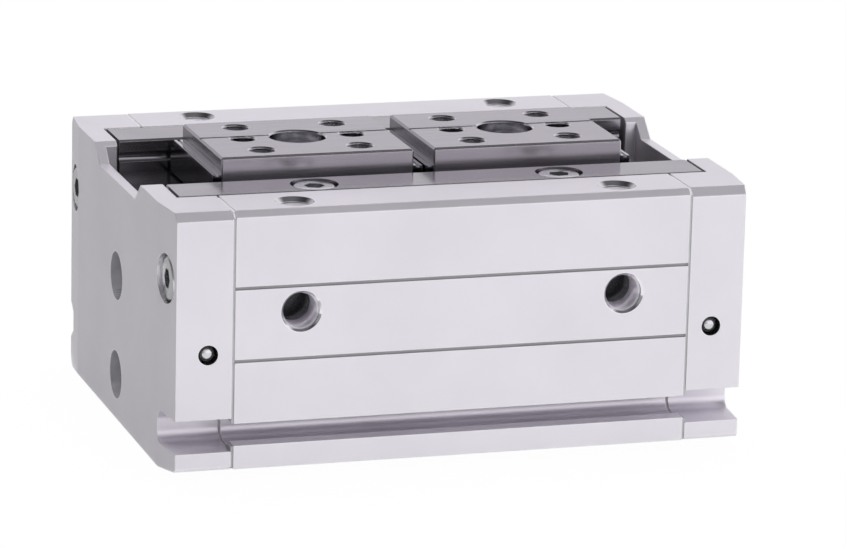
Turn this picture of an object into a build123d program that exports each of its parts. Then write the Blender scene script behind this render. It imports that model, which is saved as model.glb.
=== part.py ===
"""Low two-finger parallel air gripper with twin bores, a rack and pinion, and a ball guide.

Millimetres, +Z up, +Y away from the viewer of the photograph, origin at the bottom centre.
"""
import os
from math import atan, cos, pi, radians, sin, tan

from build123d import *

os.makedirs("parts", exist_ok=True)

# Travel of each finger from the pose in the photograph
travel_open = 9.8
travel_close = 0.2

# Finger, its end plates and the way out that they leave in the caps
finger_length = 32.2
end_plate_thickness = 1.45
finger_meeting_gap = 0.05
finger_inner_x = finger_meeting_gap + travel_close + end_plate_thickness
finger_outer_x = finger_inner_x + finger_length
finger_middle_x = (finger_inner_x + finger_outer_x) / 2
pocket_end_gap = 0.7
pocket_end_x = finger_outer_x + travel_open + pocket_end_gap
finger_way_gap = 1.15
finger_way_x = finger_outer_x + end_plate_thickness + travel_open + finger_way_gap
finger_way_half_width = 14.9

# Overall size
pocket_end_wall = 3.6
half_length = pocket_end_x + pocket_end_wall
cap_thickness = 10.0
gasket_thickness = 0.4
gasket_inset = 0.15
gasket_hole_margin = 0.2
gasket_pocket_margin = 1.0
cap_inner_x = half_length - cap_thickness
body_end_x = cap_inner_x - gasket_thickness

# Pinion teeth and bores
tooth_module = 1.0
pinion_teeth = 22
pressure_angle = 20.0
tooth_backlash = 0.14
tooth_top = 0.95
tooth_root = 1.25
pitch_radius = tooth_module * pinion_teeth / 2
bore_radius = 10.0
rack_line_depth = 4.0
bore_offset_y = pitch_radius + bore_radius - rack_line_depth
front_bore_y = -bore_offset_y
floor_wall = 9.0
roof_wall = 4.0
rail_height = 10.5
bore_z = floor_wall + bore_radius
rail_bottom_z = bore_z + bore_radius + roof_wall
body_height = rail_bottom_z + rail_height

# Outline of the housing section
body_top_chamfer = 1.0
cap_top_chamfer = 1.3
cap_low_chamfer = 0.7
cap_taper_width = 8.8
cap_taper_depth = 0.9
foot_underside = 1.7
foot_bevel_run = 12.0
foot_edge_chamfer = 0.5
rear_bottom_radius = 2.6
front_groove_depth = 8.3
front_groove_low = 4.65
front_groove_high = 10.05
front_groove_radius = 1.8
body_lip = 0.9
body_lip_depth = 2.4
rear_groove_depth = 3.1
rear_groove_mouth_low = 4.9
rear_groove_mouth_high = 11.1
rear_groove_floor_low = 6.7
rear_groove_floor_high = 10.0
band_line_width = 0.5
band_line_depth = 0.3

# Drive block between rack and finger
drive_length = 9.0
drive_gap = 0.5
drive_slot_radius = 1.5
drive_edge_chamfer = 0.8
drive_screw_y = pitch_radius + 1.3
drive_web_inner_y = drive_screw_y - 2.3
drive_web_outer_y = bore_offset_y + 1.0
drive_web_drop = 0.2
drive_flange_outer_y = drive_screw_y + 2.5
drive_flange_inner_y = 5.0
drive_flange_bottom_z = rail_bottom_z + drive_gap
drive_screw_pitch = 4.6
drive_head_radius = 1.9
drive_head_height = 2.0
drive_head_seat = 2.2
drive_shank_radius = 1.0
drive_engagement = 4.7
drive_tap_depth = 6.5
slot_length = drive_length + travel_open + travel_close + 2 * drive_gap
slot_x = finger_middle_x + (travel_open - travel_close) / 2

# Pistons and racks
piston_clearance = 0.05
seal_width = 2.2
seal_groove_depth = 1.7
wear_ring_width = 2.2
wear_groove_depth = 0.9
magnet_width = 2.0
magnet_groove_depth = 1.6
piston_land = 0.8
piston_inner_land = 1.2
piston_length = 3 * piston_land + piston_inner_land + seal_width + wear_ring_width + magnet_width
ring_clearance = 0.01
magnet_set_back = 0.5
groove_cut_margin = 1.0
piston_stop_gap = 0.2
drive_to_piston = 2.7
piston_start_x = finger_middle_x + drive_length / 2 + drive_to_piston + piston_length
cap_recess_depth = piston_start_x + travel_open + piston_stop_gap - cap_inner_x
piston_spare_run = 4.2
rack_end_x = cap_inner_x - travel_close - piston_spare_run - piston_length
rack_outer_y = bore_offset_y + 5.0
rack_half_height = 5.5
rack_edge_chamfer = 1.0
rack_teeth = 9
rack_first_gap = -2.5
rack_tap_depth = 9.0
rack_land_margin = 1.0
rack_top_z = bore_z + rack_half_height
piston_head_depth = 0.4
piston_head_clearance = 0.2
piston_screw_length = 12.0

# Pinion, its shaft and its cover
pinion_bottom_z = bore_z - 4.5
pinion_top_z = bore_z + 4.3
pinion_gap = 0.1
shaft_radius = 3.0
shaft_running_gap = 0.04
shaft_seat_gap = 0.01
shaft_chamfer = 0.4
shaft_bottom_z = 4.6
shaft_top_z = rail_bottom_z - 3.0
shaft_end_gap = 0.1
pinion_room_radius = pitch_radius + tooth_module + 0.6
cover_fit = 0.05
cover_flange_radius = pinion_room_radius + 4.9
cover_flange_thickness = 3.0
cover_set_back = 0.2
cover_step_z = pinion_bottom_z - 5.9
cover_neck_radius = 8.0
cover_screw_circle = pinion_room_radius + 2.5
cover_screw_count = 3
cover_screw_tap = 1.25
cover_screw_tap_depth = 5.2
cover_screw_length = 5.0
cover_head_radius = 2.1
cover_head_height = 1.5
cover_head_seat = 1.7

# Rail
rail_slot_edge = 0.5
rail_slot_width = 2 * (drive_flange_outer_y + drive_gap + rail_slot_edge)
rail_strip_width = 8.9
rail_width = rail_slot_width + 2 * rail_strip_width
rail_side_gap = 0.25
side_shoulder = 11.05
overall_depth = rail_width + 2 * (rail_side_gap + side_shoulder)
half_depth = overall_depth / 2
rail_end_gap = 0.6
rail_length = 2 * (pocket_end_x - rail_end_gap)
rail_slot_depth = 5.7
rail_floor_z = body_height - rail_slot_depth
rail_edge_chamfer = 0.3

# Balls and finger section
finger_side_gap = 1.2
finger_ledge_width = 1.95
finger_base_width = rail_slot_width - 2 * finger_side_gap
finger_top_width = finger_base_width - 2 * finger_ledge_width
finger_bottom_z = rail_floor_z + 0.4
finger_ledge_z = body_height - 1.3
finger_top_z = body_height + 3.1
finger_edge_chamfer = 0.35
finger_corner_chamfer = 0.25
ball_radius = 1.0
ball_gap = 0.04
ball_z = body_height - 2.9
ball_y = (rail_slot_width + finger_base_width) / 4
ball_count = 7
ball_pitch = 4.2
return_hole_y = 12.9
return_hole_radius = 1.1
finger_hole_pitch = 16.5
finger_thread_radius = 2.1
finger_thread_mouth = 2.35
pin_hole_pitch = 18.5
pin_hole_radius = 2.0
pin_hole_depth = 4.0
finger_bore_radius = 4.6
finger_bore_depth = 3.2
finger_screw_seat_z = finger_bottom_z + 2.0
finger_head_radius = 4.2
finger_head_height = 3.0
finger_head_gap = 0.2
finger_shank_radius = 2.5
finger_screw_end_gap = 0.5
finger_line_y = 1.7
finger_line_width = 0.9
finger_line_depth = 0.3
end_plate_width = 2 * finger_way_half_width - 0.4
end_plate_top_z = body_height + 0.4
end_plate_line_depth = 0.3
end_plate_line_width = 0.5

# Holes in the housing
port_inset = 21.2
mount_hole_x = half_length - port_inset
mount_hole_y = half_depth - 5.2
mount_hole_radius = 2.5
mount_hole_depth = 11.5
mount_hole_mouth = 3.2
port_x = half_length - port_inset
port_z = bore_z + 7.9
port_radius = 3.0
port_mouth = 3.35
band_line_margin = 0.85
band_line_heights = (bore_z + 0.3, port_z + port_mouth + band_line_margin)
port_depth = 7.0
passage_radius = 1.2
passage_x = cap_inner_x + 3.9
passage_y = -(half_depth - 4.0)
passage_z = bore_z + 1.6
passage_overrun = 2.0
plug_hole_radius = 1.6
plug_radius = plug_hole_radius - 0.01
plug_set_back = 0.35
plug_passage_radius = 1.05
plug_seat_run = (plug_radius ** 2 - plug_passage_radius ** 2) ** 0.5

# Notch across each cap
notch_floor_z = body_height - 3.1
notch_floor_half_width = 12.2
notch_top_half_width = 15.7

# Screws: head, shank and key
screw_gap = 0.02
screw_head_chamfer = 0.3
m4_head = 3.5
m4_head_height = 4.0
m4_shank = 2.0
m4_key = 3.0
m4_key_depth = 2.2
tap_run_out = 0.4
cap_screw_y = half_depth - 5.0
cap_screw_z = body_height - 11.4
cap_screw_length = 12.0
cap_counterbore_radius = 4.0
cap_head_set_back = 0.6
centre_screw_heights = (bore_z + 5.7, 8.05)
centre_head_set_back = 3.2
rail_screw_inset = 27.4
rail_screw_x = half_length - rail_screw_inset
rail_screw_y = (rail_width + rail_slot_width) / 4
rail_head_set_back = 0.25
rail_counterbore_radius = 3.9
rail_seat_z = body_height - rail_head_set_back - m4_head_height
rail_screw_engagement = 2.75
rail_screw_length = rail_seat_z - rail_bottom_z + rail_screw_engagement


def save(shape, label):
    """Write one named node."""
    shape.label = label
    export_step(shape, f"parts/{label}.step")


def turned(shape):
    """The same piece on the other side of the gripper, half a turn about the middle."""
    return Rot(0, 0, 180) * shape


def socket_screw(head, head_height, shank, shank_length, key, key_depth):
    """A socket-head screw with its seat at the origin and its head upwards."""
    with BuildPart() as screw:
        Cylinder(head, head_height, align=(Align.CENTER, Align.CENTER, Align.MIN))
        chamfer(screw.edges().sort_by(Axis.Z)[-1], screw_head_chamfer)
        with BuildSketch(Plane.XY.offset(head_height)):
            RegularPolygon(key / 2, 6, major_radius=False)
        extrude(amount=-key_depth, mode=Mode.SUBTRACT)
        Cylinder(shank, shank_length, align=(Align.CENTER, Align.CENTER, Align.MAX))
    return screw.part


def draw_outline(section, top_chamfer, lip):
    """Draw the housing section: bevelled foot, front groove with or without lips, rear groove."""
    with Locations((0, body_height / 2)):
        Rectangle(overall_depth, body_height)
    chamfer(section.vertices().group_by(Axis.Y)[-1], top_chamfer)
    fillet(section.vertices().group_by(Axis.Y)[0].sort_by(Axis.X)[-1], rear_bottom_radius)
    front = -half_depth
    rear = half_depth
    Polygon((front, 0), (front + foot_bevel_run, 0), (front, foot_underside),
            align=None, mode=Mode.SUBTRACT)
    groove_middle_z = (front_groove_low + front_groove_high) / 2
    groove_height = front_groove_high - front_groove_low
    inner_run = front_groove_depth - body_lip_depth if lip else 2 * front_groove_depth
    with Locations((front + front_groove_depth - inner_run / 2, groove_middle_z)):
        RectangleRounded(inner_run, groove_height, front_groove_radius, mode=Mode.SUBTRACT)
    with Locations((front, groove_middle_z)):
        Rectangle(2 * (body_lip_depth + front_groove_radius), groove_height - 2 * lip,
                  mode=Mode.SUBTRACT)
    Polygon((rear, rear_groove_mouth_low), (rear - rear_groove_depth, rear_groove_floor_low),
            (rear - rear_groove_depth, rear_groove_floor_high), (rear, rear_groove_mouth_high),
            align=None, mode=Mode.SUBTRACT)


def make_body():
    """The extruded body with both bores, the rail pocket, the pinion room, ports and holes."""
    with BuildPart() as body:
        with BuildSketch(Plane.YZ.offset(-body_end_x)) as section:
            draw_outline(section, body_top_chamfer, body_lip)
            with Locations((front_bore_y, bore_z), (bore_offset_y, bore_z)):
                Circle(bore_radius, mode=Mode.SUBTRACT)
            pocket_height = body_height - rail_bottom_z
            with Locations((0, rail_bottom_z + pocket_height / 2)):
                Rectangle(rail_width + 2 * rail_side_gap, pocket_height, mode=Mode.SUBTRACT)
            with Locations(*[(-half_depth, height) for height in band_line_heights]):
                Rectangle(2 * band_line_depth, band_line_width, mode=Mode.SUBTRACT)
        extrude(amount=2 * body_end_x)

        # Slots that let the drive blocks reach up from the bores
        slot_y = (drive_web_inner_y + drive_web_outer_y) / 2
        slot_width = drive_web_outer_y - drive_web_inner_y + 2 * drive_gap
        with BuildSketch(Plane.XY.offset(rail_bottom_z)):
            with Locations((-slot_x, -slot_y), (slot_x, slot_y)):
                RectangleRounded(slot_length, slot_width, drive_slot_radius)
        extrude(amount=bore_z - rail_bottom_z, mode=Mode.SUBTRACT)

        # Room for the pinion, opened from below and stepped for its cover
        with BuildSketch(Plane.XY):
            Circle(pinion_room_radius)
        extrude(amount=pinion_top_z + pinion_gap, mode=Mode.SUBTRACT)
        with BuildSketch(Plane.XY):
            Circle(cover_flange_radius + 2 * cover_fit)
        extrude(amount=cover_flange_thickness + cover_set_back, mode=Mode.SUBTRACT)
        with BuildSketch(Plane.XY.offset(pinion_top_z)):
            Circle(shaft_radius)
        extrude(amount=shaft_top_z - pinion_top_z, mode=Mode.SUBTRACT)
        with BuildSketch(Plane.XY.offset(cover_flange_thickness)):
            with PolarLocations(cover_screw_circle, cover_screw_count, 90):
                Circle(cover_screw_tap)
        extrude(amount=cover_screw_tap_depth, mode=Mode.SUBTRACT)

        # Threaded mounting holes beside the rail
        with BuildSketch(Plane.XY.offset(body_height)):
            with GridLocations(2 * mount_hole_x, 2 * mount_hole_y, 2, 2):
                Circle(mount_hole_radius)
        extrude(amount=-mount_hole_depth, mode=Mode.SUBTRACT)
        mouths = body.edges().filter_by(GeomType.CIRCLE).group_by(Axis.Z)[-1]
        chamfer(mouths, mount_hole_mouth - mount_hole_radius)

        # Air ports in the front face with their passages to the body ends
        with BuildSketch(Plane.XZ.offset(half_depth)):
            with Locations((-port_x, port_z), (port_x, port_z)):
                Circle(port_radius)
        extrude(amount=-port_depth, mode=Mode.SUBTRACT)
        mouths = body.edges().filter_by(GeomType.CIRCLE).group_by(Axis.Y)[0]
        chamfer(mouths, port_mouth - port_radius)
        passage_length = body_end_x - port_x
        for side in (-1, 1):
            with Locations((side * (body_end_x - passage_length / 2), passage_y, port_z)):
                Cylinder(passage_radius, passage_length, rotation=(0, 90, 0), mode=Mode.SUBTRACT)

        # Tapped holes for the cap screws and the rail screws
        upper = [(y, cap_screw_z) for y in (-cap_screw_y, cap_screw_y)]
        lower = [(0, height) for height in centre_screw_heights]
        upper_reach = cap_head_set_back + m4_head_height + cap_screw_length
        lower_reach = upper_reach - cap_head_set_back + centre_head_set_back
        for points, reach in ((upper, upper_reach), (lower, lower_reach)):
            tapped = body_end_x - (half_length - reach) + tap_run_out
            with BuildSketch(Plane.YZ.offset(-body_end_x)):
                with Locations(*points):
                    Circle(m4_shank)
            extrude(amount=tapped, mode=Mode.SUBTRACT)
            with BuildSketch(Plane.YZ.offset(body_end_x)):
                with Locations(*points):
                    Circle(m4_shank)
            extrude(amount=-tapped, mode=Mode.SUBTRACT)
        with BuildSketch(Plane.XY.offset(rail_bottom_z)):
            with GridLocations(2 * rail_screw_x, 2 * rail_screw_y, 2, 2):
                Circle(m4_shank)
        extrude(amount=-(rail_screw_engagement + tap_run_out), mode=Mode.SUBTRACT)
    return body.part


def make_cap(side):
    """The end cap at one side (-1 left, 1 right), notched to leave the finger's way out free."""
    face_x = side * half_length
    seam_x = side * cap_inner_x
    with BuildPart() as cap:
        with BuildSketch(Plane.YZ.offset(face_x)) as section:
            draw_outline(section, cap_top_chamfer, 0)
        extrude(amount=-side * cap_thickness)

        # Chamfered lower edges and the shallow taper towards both long sides
        outer_face = cap.faces().sort_by(Axis.X)[0 if side < 0 else -1]
        chamfer(outer_face.edges().filter_by(Axis.Y).sort_by(Axis.Z)[0], cap_low_chamfer)
        front_edges = cap.edges().filter_by(Axis.X).group_by(Axis.Y)[0]
        chamfer(front_edges.sort_by(Axis.Z)[0], foot_edge_chamfer)
        with BuildSketch(Plane.XY):
            for face in (-1, 1):
                kink_y = face * (half_depth - cap_taper_width)
                Polygon((face_x, face * half_depth), (face_x, kink_y),
                        (face_x - side * cap_taper_depth, face * half_depth), align=None)
        extrude(amount=body_height, mode=Mode.SUBTRACT)

        # Pocket for the end of the rail, run on in the middle for the finger's end plate
        pocket_middle_z = (rail_bottom_z + body_height) / 2
        for end_x, width in ((pocket_end_x, rail_width + 2 * rail_side_gap),
                             (finger_way_x, 2 * finger_way_half_width)):
            with Locations((side * (cap_inner_x + end_x) / 2, 0, pocket_middle_z)):
                Box(end_x - cap_inner_x, width, rail_height, mode=Mode.SUBTRACT)

        # Notch with sloped walls that leaves the finger's way out free
        with BuildSketch(Plane.YZ.offset(face_x)):
            Polygon((-notch_top_half_width, body_height),
                    (-notch_floor_half_width, notch_floor_z),
                    (notch_floor_half_width, notch_floor_z),
                    (notch_top_half_width, body_height), align=None)
        extrude(amount=-side * (half_length - pocket_end_x), mode=Mode.SUBTRACT)

        # Room for the piston that comes out at full opening
        with BuildSketch(Plane.YZ.offset(seam_x)):
            with Locations((side * bore_offset_y, bore_z)):
                Circle(bore_radius)
        extrude(amount=side * cap_recess_depth, mode=Mode.SUBTRACT)

        # Counterbored holes for the screws that hold the cap
        upper = [(y, cap_screw_z) for y in (-cap_screw_y, cap_screw_y)]
        lower = [(0, height) for height in centre_screw_heights]
        for points, set_back in ((upper, cap_head_set_back), (lower, centre_head_set_back)):
            with BuildSketch(Plane.YZ.offset(face_x)):
                with Locations(*points):
                    Circle(cap_counterbore_radius)
            extrude(amount=-side * (set_back + m4_head_height), mode=Mode.SUBTRACT)
            with BuildSketch(Plane.YZ.offset(face_x)):
                with Locations(*points):
                    Circle(m4_shank + screw_gap)
            extrude(amount=-side * cap_thickness, mode=Mode.SUBTRACT)

        # Cross passages from both long sides, each with a seat for its plug
        passage_length = half_depth - bore_offset_y - bore_radius + passage_overrun
        seat_depth = plug_set_back + plug_radius + plug_seat_run
        for face in (-1, 1):
            plane = Plane.XZ.offset(-face * half_depth)
            for radius, length in ((plug_hole_radius, seat_depth),
                                   (plug_passage_radius, passage_length)):
                with BuildSketch(plane):
                    with Locations((side * passage_x, passage_z)):
                        Circle(radius)
                extrude(amount=face * length, mode=Mode.SUBTRACT)
        feed_y = -side * (bore_offset_y + bore_radius - passage_overrun / 2)
        with BuildSketch(Plane.YZ.offset(seam_x)):
            with Locations((feed_y, passage_z)):
                Circle(passage_radius)
            with Locations((passage_y, (passage_z + port_z) / 2)):
                SlotOverall(port_z - passage_z + 2 * passage_radius, 2 * passage_radius,
                            rotation=90)
        extrude(amount=side * (passage_x - cap_inner_x), mode=Mode.SUBTRACT)
    return cap.part


def make_gasket(side):
    """The sheet seal between a cap and the body, set in a little from the outline."""
    with BuildPart() as gasket:
        with BuildSketch(Plane.YZ.offset(side * cap_inner_x)) as section:
            draw_outline(section, body_top_chamfer, body_lip)
            offset(amount=-gasket_inset, mode=Mode.REPLACE)
            with Locations((front_bore_y, bore_z), (bore_offset_y, bore_z)):
                Circle(bore_radius + gasket_hole_margin, mode=Mode.SUBTRACT)
            with Locations((0, body_height)):
                Rectangle(rail_width + 2 * gasket_pocket_margin,
                          2 * (rail_height + gasket_pocket_margin), mode=Mode.SUBTRACT)
            with Locations((-cap_screw_y, cap_screw_z), (cap_screw_y, cap_screw_z),
                           (0, centre_screw_heights[0]), (0, centre_screw_heights[1])):
                Circle(m4_shank + gasket_hole_margin, mode=Mode.SUBTRACT)
            with Locations((passage_y, port_z)):
                Circle(passage_radius, mode=Mode.SUBTRACT)
        extrude(amount=-side * gasket_thickness)
    return gasket.part


def make_cap_screws():
    """All eight screws of the two caps: four near the surface and four sunk on the middle plane."""
    screw = socket_screw(m4_head, m4_head_height, m4_shank - screw_gap, cap_screw_length,
                         m4_key, m4_key_depth)
    spots = []
    for side, turn in ((-1, -90), (1, 90)):
        seat_x = half_length - cap_head_set_back - m4_head_height
        sunk_x = half_length - centre_head_set_back - m4_head_height
        for y in (-cap_screw_y, cap_screw_y):
            spots.append(Location((side * seat_x, y, cap_screw_z), (0, turn, 0)))
        for height in centre_screw_heights:
            spots.append(Location((side * sunk_x, 0, height), (0, turn, 0)))
    with BuildPart() as screws:
        with Locations(*spots):
            add(screw)
    return screws.part


def make_rail():
    """The hardened channel that guides both fingers on balls."""
    with BuildPart() as rail:
        with BuildSketch(Plane.YZ.offset(-rail_length / 2)) as section:
            with Locations((0, rail_bottom_z + rail_height / 2)):
                Rectangle(rail_width, rail_height)
            with Locations((0, rail_floor_z + rail_slot_depth / 2)):
                Rectangle(rail_slot_width, rail_slot_depth, mode=Mode.SUBTRACT)
            chamfer(section.vertices().group_by(Axis.Y)[-1], rail_edge_chamfer)
            with Locations((-ball_y, ball_z), (ball_y, ball_z)):
                Circle(ball_radius + ball_gap, mode=Mode.SUBTRACT)
        extrude(amount=rail_length)

        # Windows for the drive blocks
        window_width = drive_flange_outer_y + drive_flange_inner_y + 2 * drive_gap
        window_y = (drive_flange_outer_y - drive_flange_inner_y) / 2
        with BuildSketch(Plane.XY.offset(rail_bottom_z)):
            with Locations((-slot_x, -window_y), (slot_x, window_y)):
                RectangleRounded(slot_length, window_width, drive_slot_radius)
        extrude(amount=rail_floor_z - rail_bottom_z, mode=Mode.SUBTRACT)

        # Counterbored screw holes along both strips
        with BuildSketch(Plane.XY.offset(body_height)):
            with GridLocations(2 * rail_screw_x, 2 * rail_screw_y, 2, 2):
                Circle(rail_counterbore_radius)
        extrude(amount=rail_seat_z - body_height, mode=Mode.SUBTRACT)
        with BuildSketch(Plane.XY.offset(body_height)):
            with GridLocations(2 * rail_screw_x, 2 * rail_screw_y, 2, 2):
                Circle(m4_shank + screw_gap)
        extrude(amount=-rail_height, mode=Mode.SUBTRACT)
    return rail.part


def make_rail_screws():
    """The four screws that hold the rail in its pocket."""
    screw = socket_screw(m4_head, m4_head_height, m4_shank - screw_gap, rail_screw_length,
                         m4_key, m4_key_depth)
    with BuildPart() as screws:
        with Locations((0, 0, rail_seat_z)):
            with GridLocations(2 * rail_screw_x, 2 * rail_screw_y, 2, 2):
                add(screw)
    return screws.part


def make_passage_plugs():
    """The steel balls pressed into the mouths of the cross passages at the four cap corners."""
    plug_y = half_depth - plug_set_back - plug_radius
    with BuildPart() as plugs:
        with Locations((0, 0, passage_z)):
            with GridLocations(2 * passage_x, 2 * plug_y, 2, 2):
                Sphere(plug_radius)
    return plugs.part


def make_pinion_cover():
    """The stepped plug that closes the pinion room and carries the lower end of the shaft."""
    with BuildPart() as cover:
        with Locations((0, 0, cover_set_back)):
            Cylinder(cover_flange_radius, cover_flange_thickness,
                     align=(Align.CENTER, Align.CENTER, Align.MIN))
            Cylinder(pinion_room_radius - cover_fit, cover_step_z - cover_set_back,
                     align=(Align.CENTER, Align.CENTER, Align.MIN))
            Cylinder(cover_neck_radius, pinion_bottom_z - pinion_gap - cover_set_back,
                     align=(Align.CENTER, Align.CENTER, Align.MIN))
        with BuildSketch(Plane.XY.offset(shaft_bottom_z)):
            Circle(shaft_radius)
        extrude(amount=pinion_bottom_z, mode=Mode.SUBTRACT)
        with BuildSketch(Plane.XY.offset(cover_set_back)):
            with PolarLocations(cover_screw_circle, cover_screw_count, 90):
                Circle(cover_screw_tap + cover_fit)
        extrude(amount=cover_flange_thickness, mode=Mode.SUBTRACT)
        with BuildSketch(Plane.XY.offset(cover_set_back)):
            with PolarLocations(cover_screw_circle, cover_screw_count, 90):
                Circle(cover_head_radius + piston_head_clearance)
        extrude(amount=cover_head_seat, mode=Mode.SUBTRACT)
    return cover.part


def make_cover_screws():
    """The screws of the pinion cover, heads downwards."""
    screw = socket_screw(cover_head_radius, cover_head_height, cover_screw_tap - cover_fit,
                         cover_screw_length, 1.5, 0.9)
    seat_z = cover_set_back + cover_head_seat
    spots = [Location((cover_screw_circle * cos(radians(90 + 360 / cover_screw_count * step)),
                       cover_screw_circle * sin(radians(90 + 360 / cover_screw_count * step)),
                       seat_z), (180, 0, 0)) for step in range(cover_screw_count)]
    with BuildPart() as screws:
        with Locations(*spots):
            add(screw)
    return screws.part


def make_shaft():
    """The fixed shaft that the pinion turns on."""
    with BuildPart() as shaft:
        with Locations((0, 0, shaft_bottom_z)):
            Cylinder(shaft_radius - shaft_seat_gap, shaft_top_z - shaft_bottom_z - shaft_end_gap,
                     align=(Align.CENTER, Align.CENTER, Align.MIN))
        chamfer(shaft.edges().sort_by(Axis.Z)[-1], shaft_chamfer)
    return shaft.part


def involute(base_radius, radius):
    """Angle that an involute has turned through when it reaches a radius."""
    ratio = radius / base_radius
    if ratio <= 1:
        return 0.0
    roll = (ratio * ratio - 1) ** 0.5
    return roll - atan(roll)


def make_pinion():
    """The pinion between the racks, with involute flanks."""
    base_radius = pitch_radius * cos(radians(pressure_angle))
    tip_radius = pitch_radius + tooth_top * tooth_module
    root_radius = pitch_radius - tooth_root * tooth_module
    start_radius = max(base_radius, root_radius)
    half_tooth = (pi * tooth_module / 2 - tooth_backlash) / 2 / pitch_radius
    at_pitch = involute(base_radius, pitch_radius)
    flank = []
    for step in range(4):
        radius = start_radius + (tip_radius - start_radius) * step / 3
        flank.append((radius, half_tooth + at_pitch - involute(base_radius, radius)))
    outline = []
    for tooth in range(pinion_teeth):
        middle = -pi / 2 + 2 * pi * tooth / pinion_teeth
        side_a = [(root_radius, flank[0][1])] + flank
        for radius, angle in side_a:
            outline.append((radius * cos(middle - angle), radius * sin(middle - angle)))
        for radius, angle in reversed(side_a):
            outline.append((radius * cos(middle + angle), radius * sin(middle + angle)))
    with BuildPart() as pinion:
        with BuildSketch(Plane.XY.offset(pinion_bottom_z)):
            Polygon(*outline, align=None)
            Circle(shaft_radius + shaft_running_gap, mode=Mode.SUBTRACT)
        extrude(amount=pinion_top_z - pinion_bottom_z)
    return pinion.part


def make_left_rack():
    """The rack bar in the front bore, with flats, teeth and tapped ends."""
    tip_y = -pitch_radius + tooth_top * tooth_module
    root_y = -pitch_radius - tooth_root * tooth_module
    left_x = piston_length - piston_start_x
    pitch = pi * tooth_module
    lean = tan(radians(pressure_angle))
    half_root = pitch / 4 + tooth_root * tooth_module * lean
    half_tip = pitch / 4 - tooth_top * tooth_module * lean
    with BuildPart() as rack:
        with Locations(((left_x + rack_end_x) / 2, (root_y - rack_outer_y) / 2, bore_z)):
            Box(rack_end_x - left_x, root_y + rack_outer_y, 2 * rack_half_height)
        chamfer(rack.edges().filter_by(Axis.X).group_by(Axis.Y)[0], rack_edge_chamfer)
        with BuildSketch(Plane.XY.offset(bore_z - rack_half_height)):
            for number in range(rack_teeth):
                middle = (number + rack_first_gap) * pitch
                Polygon((middle - half_root, root_y), (middle + half_root, root_y),
                        (middle + half_tip, tip_y), (middle - half_tip, tip_y), align=None)
        extrude(amount=2 * rack_half_height)

        # Solid end land where the drive block stands, and the tapped holes
        land_end = -finger_middle_x + drive_length / 2 + rack_land_margin
        with Locations(((left_x + land_end) / 2, (root_y + tip_y) / 2, bore_z)):
            Box(land_end - left_x, tip_y - root_y, 2 * rack_half_height)
        with BuildSketch(Plane.XY.offset(rack_top_z)):
            with Locations(*drive_screw_spots()):
                Circle(drive_shank_radius)
        extrude(amount=-drive_tap_depth, mode=Mode.SUBTRACT)
        for plane_x, run in ((left_x, rack_tap_depth), (rack_end_x, -rack_tap_depth)):
            with BuildSketch(Plane.YZ.offset(plane_x)):
                with Locations((front_bore_y, bore_z)):
                    Circle(m4_shank)
            extrude(amount=run, mode=Mode.SUBTRACT)
    return rack.part


def drive_screw_spots():
    """Places of the two screws through the drive block."""
    return [(-finger_middle_x + side * drive_screw_pitch / 2, -drive_screw_y)
            for side in (-1, 1)]


def make_left_drive_block():
    """The angled block that carries the finger from the rack through body and rail."""
    web_top_z = rail_bottom_z - drive_web_drop
    boxes = ((drive_web_outer_y, drive_web_inner_y, rack_top_z, web_top_z),
             (drive_flange_outer_y, drive_web_inner_y, rack_top_z, finger_bottom_z),
             (drive_flange_outer_y, -drive_flange_inner_y, drive_flange_bottom_z, finger_bottom_z))
    with BuildPart() as block:
        for outer_y, inner_y, low_z, high_z in boxes:
            with Locations((-finger_middle_x, -(outer_y + inner_y) / 2, (low_z + high_z) / 2)):
                Box(drive_length, outer_y - inner_y, high_z - low_z)
        chamfer(block.edges().filter_by(Axis.Z).group_by(Axis.Y)[-1], drive_edge_chamfer)
        holes = ((drive_screw_spots(), drive_shank_radius + screw_gap, rack_top_z),
                 (drive_screw_spots(), drive_head_radius + screw_gap,
                  finger_bottom_z - drive_head_seat),
                 ([(-finger_middle_x, 0)], finger_shank_radius, drive_flange_bottom_z))
        for spots, radius, floor_z in holes:
            with BuildSketch(Plane.XY.offset(finger_bottom_z)):
                with Locations(*spots):
                    Circle(radius)
            extrude(amount=floor_z - finger_bottom_z, mode=Mode.SUBTRACT)
    return block.part


def make_left_drive_screws():
    """The two screws that hold the drive block to the rack."""
    seat_z = finger_bottom_z - drive_head_seat
    screw = socket_screw(drive_head_radius, drive_head_height, drive_shank_radius - screw_gap,
                         seat_z - rack_top_z + drive_engagement, 1.5, 1.0)
    with BuildPart() as screws:
        with Locations((0, 0, seat_z)):
            with Locations(*drive_screw_spots()):
                add(screw)
    return screws.part


def make_left_pistons():
    """Both piston heads of the front rack, one at each end of the bar."""
    grooves = piston_groove_starts()
    with BuildPart() as pistons:
        for centre, outward in piston_places():
            with Locations((centre, front_bore_y, bore_z)):
                Cylinder(bore_radius - piston_clearance, piston_length, rotation=(0, 90, 0))
        for centre, outward in piston_places():
            outer_x = centre + outward * piston_length / 2
            for name, (start, width, depth) in grooves.items():
                with BuildSketch(Plane.YZ.offset(outer_x - outward * start)):
                    with Locations((front_bore_y, bore_z)):
                        Circle(bore_radius + groove_cut_margin)
                        Circle(bore_radius - depth, mode=Mode.SUBTRACT)
                extrude(amount=-outward * width, mode=Mode.SUBTRACT)
            with BuildSketch(Plane.YZ.offset(outer_x)):
                with Locations((front_bore_y, bore_z)):
                    Circle(m4_head + piston_head_clearance)
            extrude(amount=-outward * (m4_head_height + piston_head_depth), mode=Mode.SUBTRACT)
            with BuildSketch(Plane.YZ.offset(outer_x)):
                with Locations((front_bore_y, bore_z)):
                    Circle(m4_shank + screw_gap)
            extrude(amount=-outward * piston_length, mode=Mode.SUBTRACT)
    return pistons.part


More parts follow.
